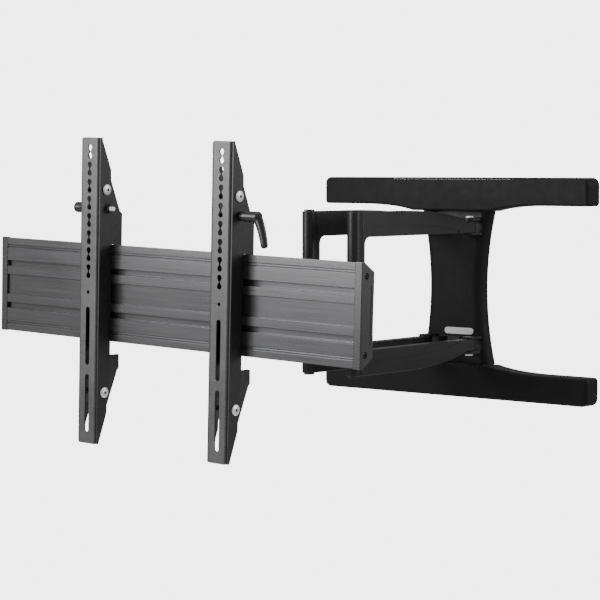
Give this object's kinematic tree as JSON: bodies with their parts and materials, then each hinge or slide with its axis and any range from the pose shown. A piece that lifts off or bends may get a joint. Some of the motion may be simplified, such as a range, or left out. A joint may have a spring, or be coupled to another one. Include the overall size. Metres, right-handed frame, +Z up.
{
  "type": "full motion tv wall mount",
  "caption": "Wall mount for a flat screen: folding twin arms carry a cross rail with sliding tilt brackets out from a covered wall plate.",
  "frame": {"origin": "middle of the wall plate, on its back face, where it meets the wall", "axes": "+Y into the wall, +Z up, +X to the right seen from the room; the mount reaches out along -Y"},
  "size_m": [0.7108, 0.746, 0.4581],
  "materials": {
    "dark_steel": "satin",
    "black_plastic": "matte",
    "badge": "satin",
    "zinc": "satin",
    "black_paint": "satin",
    "rail_grey": "satin",
    "hook_grey": "satin",
    "face_grey": "satin",
    "black_steel": "satin",
    "lever_plastic": "satin"
  },
  "bodies": {
    "wall_unit": {"wall_plate": "dark_steel", "top_bar_cover": "black_plastic", "bottom_bar_cover": "black_plastic", "column_cover": "black_plastic", "column_badge": "badge", "upper_hinge_bracket": "dark_steel", "lower_hinge_bracket": "dark_steel", "left_upper_wall_pin": "zinc", "left_lower_wall_pin": "zinc", "right_upper_wall_pin": "zinc", "right_lower_wall_pin": "zinc"},
    "right_inner_arm": {"right_arm_upper_casting": "black_paint", "right_arm_lower_casting": "black_paint", "right_elbow_pin": "black_paint"},
    "right_outer_arm": {"right_outer_arm": "black_paint"},
    "left_inner_arm": {"left_arm_upper_casting": "black_paint", "left_arm_lower_casting": "black_paint", "left_elbow_pin": "black_paint"},
    "left_outer_arm": {"left_outer_arm": "black_paint"},
    "head_yoke": {"head_yoke": "dark_steel", "left_head_pin": "zinc", "right_head_pin": "zinc", "swivel_pin": "zinc"},
    "head": {"swivel_carriage": "dark_steel", "rail": "rail_grey", "left_end_cap": "rail_grey", "right_end_cap": "rail_grey", "left_upper_cap_screw": "black_steel", "left_upper_carriage_bolt": "zinc", "left_lower_cap_screw": "black_steel", "left_lower_carriage_bolt": "zinc", "right_upper_cap_screw": "black_steel", "right_upper_carriage_bolt": "zinc", "right_lower_cap_screw": "black_steel", "right_lower_carriage_bolt": "zinc"},
    "left_hook": {"left_hook_bracket": "hook_grey", "left_spacer_bolt": "zinc", "left_pivot_bolt": "zinc", "left_clamp_bolt": "zinc", "left_clamp_nut": "black_steel"},
    "left_screen": {"left_screen_channel": "face_grey"},
    "left_lever": {"left_clamp_lever": "lever_plastic"},
    "right_hook": {"right_hook_bracket": "hook_grey", "right_spacer_bolt": "zinc", "right_pivot_bolt": "zinc", "right_clamp_bolt": "zinc", "right_clamp_nut": "black_steel"},
    "right_screen": {"right_screen_channel": "face_grey"},
    "right_lever": {"right_clamp_lever": "lever_plastic"}
  },
  "joints": [
    {"name": "right_shoulder", "type": "hinge", "parent": "wall_unit", "child": "right_inner_arm", "pos_m": [0.0453, -0.04, 0.004], "axis": [0, 0, 1], "range_deg": [0, 75]},
    {"name": "left_shoulder", "type": "hinge", "parent": "wall_unit", "child": "left_inner_arm", "pos_m": [-0.0453, -0.04, 0.004], "axis": [0, 0, 1], "range_deg": [-75, 0]},
    {"name": "right_elbow", "type": "hinge", "parent": "right_inner_arm", "child": "right_outer_arm", "pos_m": [0.0453, -0.348, 0.004], "axis": [0, 0, 1], "range_deg": [-150, 0]},
    {"name": "left_elbow", "type": "hinge", "parent": "left_inner_arm", "child": "left_outer_arm", "pos_m": [-0.0453, -0.348, 0.004], "axis": [0, 0, 1], "range_deg": [0, 150]},
    {"name": "head_hinge", "type": "hinge", "parent": "right_outer_arm", "child": "head_yoke", "pos_m": [0.0453, -0.656, 0.004], "axis": [0, 0, 1], "range_deg": [0, 75]},
    {"name": "head_swivel", "type": "hinge", "parent": "head_yoke", "child": "head", "pos_m": [0, -0.674, 0.004], "axis": [0, 0, 1], "range_deg": [-15, 15]},
    {"name": "left_bracket_slide", "type": "slide", "parent": "head", "child": "left_hook", "axis": [0.9996, 0, -0.0279], "range_m": [-0.18, 0.09]},
    {"name": "right_bracket_slide", "type": "slide", "parent": "head", "child": "right_hook", "axis": [0.9996, 0, -0.0279], "range_m": [-0.09, 0.18]},
    {"name": "right_tilt", "type": "hinge", "parent": "right_hook", "child": "right_screen", "pos_m": [0.11888, -0.7305, -0.13638], "axis": [0.9996, 0, -0.0279], "range_deg": [0, 4]},
    {"name": "left_tilt", "type": "hinge", "parent": "left_hook", "child": "left_screen", "pos_m": [-0.14002, -0.7305, -0.12915], "axis": [0.9996, 0, -0.0279], "range_deg": [0, 4]},
    {"name": "left_lever_turn", "type": "hinge", "parent": "left_hook", "child": "left_lever", "pos_m": [-0.13247, -0.727, 0.14125], "axis": [0.9996, 0, -0.0279], "range_deg": [-90, 30]},
    {"name": "right_lever_turn", "type": "hinge", "parent": "right_hook", "child": "right_lever", "pos_m": [0.12643, -0.727, 0.13402], "axis": [0.9996, 0, -0.0279], "range_deg": [0, 120]}
  ],
  "couplings": [
    {"joint": "left_shoulder", "follows": "right_shoulder", "ratio": -1},
    {"joint": "right_elbow", "follows": "right_shoulder", "ratio": -2},
    {"joint": "left_elbow", "follows": "right_shoulder", "ratio": 2},
    {"joint": "head_hinge", "follows": "right_shoulder", "ratio": 1},
    {"joint": "left_tilt", "follows": "right_tilt", "ratio": 1}
  ]
}
